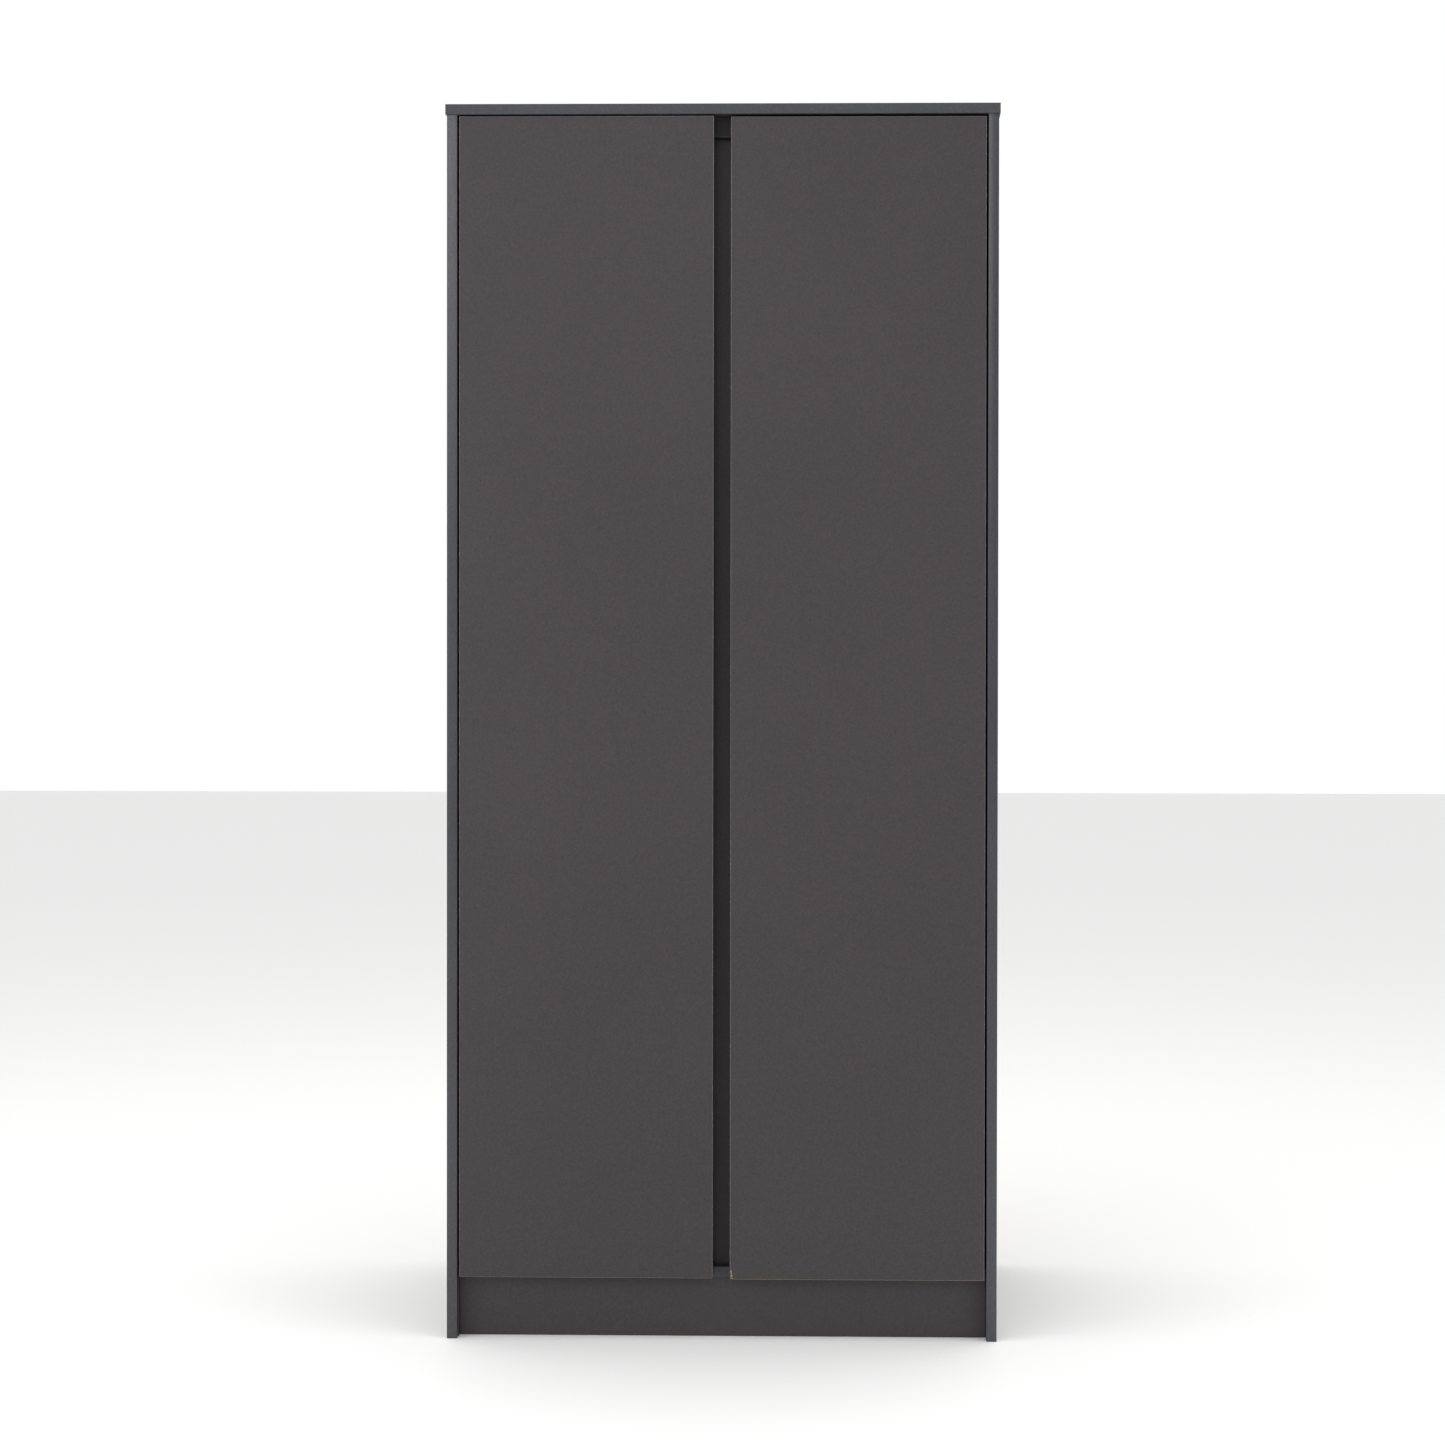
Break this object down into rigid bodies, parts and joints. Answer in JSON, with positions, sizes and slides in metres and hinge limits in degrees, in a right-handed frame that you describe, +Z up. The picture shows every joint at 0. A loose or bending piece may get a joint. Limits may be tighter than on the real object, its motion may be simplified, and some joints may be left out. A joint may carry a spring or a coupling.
{
  "type": "wardrobe",
  "caption": "Tall free-standing wardrobe with inset handle-less doors on concealed hinges, a finger channel between them, a hat shelf and a hanging rail.",
  "frame": {"origin": "middle of the footprint, on the floor", "axes": "+X to the right seen from the front, +Y towards the back, +Z up; the doors face -Y"},
  "size_m": [0.807, 0.5, 1.8],
  "materials": {
    "carcass_board": "matt anthracite melamine on chipboard, dark ABS edging",
    "door_board": "matt anthracite melamine on chipboard, dark ABS edging",
    "back_board": "dark printed hardboard",
    "joining_strip": "extruded black plastic",
    "rail_tube": "chromed steel tube",
    "zinc_casting": "plain zinc die casting",
    "hinge_steel": "nickel-plated pressed steel",
    "bumper": "clear soft polyurethane"
  },
  "bodies": {
    "carcass": {"top_panel": "carcass_board", "left_side_panel": "carcass_board", "right_side_panel": "carcass_board", "bottom_panel": "carcass_board", "plinth": "carcass_board", "rear_plinth": "carcass_board", "top_rail": "carcass_board", "centre_post": "carcass_board", "hat_shelf": "carcass_board", "back_panel_left": "back_board", "back_panel_right": "back_board", "back_joining_strip": "joining_strip", "hanging_rail": "rail_tube", "rail_socket_left": "zinc_casting", "rail_socket_right": "zinc_casting", "connector_cam_left_front": "zinc_casting", "connector_cam_left_rear": "zinc_casting", "connector_cam_right_front": "zinc_casting", "connector_cam_right_rear": "zinc_casting", "shelf_pin_left_front": "hinge_steel", "shelf_pin_left_rear": "hinge_steel", "shelf_pin_right_front": "hinge_steel", "shelf_pin_right_rear": "hinge_steel", "wall_bracket": "hinge_steel", "hinge_mounting_plate_left_bottom": "zinc_casting", "hinge_mounting_plate_left_middle": "zinc_casting", "hinge_mounting_plate_left_top": "zinc_casting", "hinge_mounting_plate_right_bottom": "zinc_casting", "hinge_mounting_plate_right_middle": "zinc_casting", "hinge_mounting_plate_right_top": "zinc_casting", "hinge_arm_left_bottom": "hinge_steel", "hinge_arm_left_middle": "hinge_steel", "hinge_arm_left_top": "hinge_steel", "hinge_arm_right_bottom": "hinge_steel", "hinge_arm_right_middle": "hinge_steel", "hinge_arm_right_top": "hinge_steel"},
    "left_door": {"left_door": "door_board", "hinge_cup_left_bottom": "hinge_steel", "hinge_cup_left_middle": "hinge_steel", "hinge_cup_left_top": "hinge_steel", "door_bumper_left_bottom": "bumper", "door_bumper_left_top": "bumper"},
    "left_inner_links": {"hinge_inner_link_left_bottom": "hinge_steel", "hinge_inner_link_left_middle": "hinge_steel", "hinge_inner_link_left_top": "hinge_steel"},
    "left_outer_links": {"hinge_outer_link_left_bottom": "hinge_steel", "hinge_outer_link_left_middle": "hinge_steel", "hinge_outer_link_left_top": "hinge_steel"},
    "right_door": {"right_door": "door_board", "hinge_cup_right_bottom": "hinge_steel", "hinge_cup_right_middle": "hinge_steel", "hinge_cup_right_top": "hinge_steel", "door_bumper_right_bottom": "bumper", "door_bumper_right_top": "bumper"},
    "right_inner_links": {"hinge_inner_link_right_bottom": "hinge_steel", "hinge_inner_link_right_middle": "hinge_steel", "hinge_inner_link_right_top": "hinge_steel"},
    "right_outer_links": {"hinge_outer_link_right_bottom": "hinge_steel", "hinge_outer_link_right_middle": "hinge_steel", "hinge_outer_link_right_top": "hinge_steel"}
  },
  "joints": [
    {"name": "left_door_hinge", "type": "hinge", "parent": "carcass", "child": "left_door", "pos_m": [-0.3765, -0.2414, 0.9355], "axis": [0, 0, -1], "range_deg": [0, 95]},
    {"name": "left_inner_links_pivot", "type": "hinge", "parent": "carcass", "child": "left_inner_links", "pos_m": [-0.3555, -0.2285, 0.9355], "axis": [0, 0, -1], "range_deg": [-14, 0]},
    {"name": "left_outer_links_pivot", "type": "hinge", "parent": "carcass", "child": "left_outer_links", "pos_m": [-0.35, -0.2285, 0.9355], "axis": [0, 0, -1], "range_deg": [0, 2]},
    {"name": "right_door_hinge", "type": "hinge", "parent": "carcass", "child": "right_door", "pos_m": [0.3765, -0.2414, 0.9355], "axis": [0, 0, 1], "range_deg": [0, 95]},
    {"name": "right_inner_links_pivot", "type": "hinge", "parent": "carcass", "child": "right_inner_links", "pos_m": [0.3555, -0.2285, 0.9355], "axis": [0, 0, 1], "range_deg": [-14, 0]},
    {"name": "right_outer_links_pivot", "type": "hinge", "parent": "carcass", "child": "right_outer_links", "pos_m": [0.35, -0.2285, 0.9355], "axis": [0, 0, 1], "range_deg": [0, 2]}
  ],
  "couplings": [
    {"joint": "left_inner_links_pivot", "follows": "left_door_hinge", "ratio": -0.1378},
    {"joint": "left_outer_links_pivot", "follows": "left_door_hinge", "ratio": 0.0139},
    {"joint": "right_inner_links_pivot", "follows": "right_door_hinge", "ratio": -0.1378},
    {"joint": "right_outer_links_pivot", "follows": "right_door_hinge", "ratio": 0.0139}
  ]
}
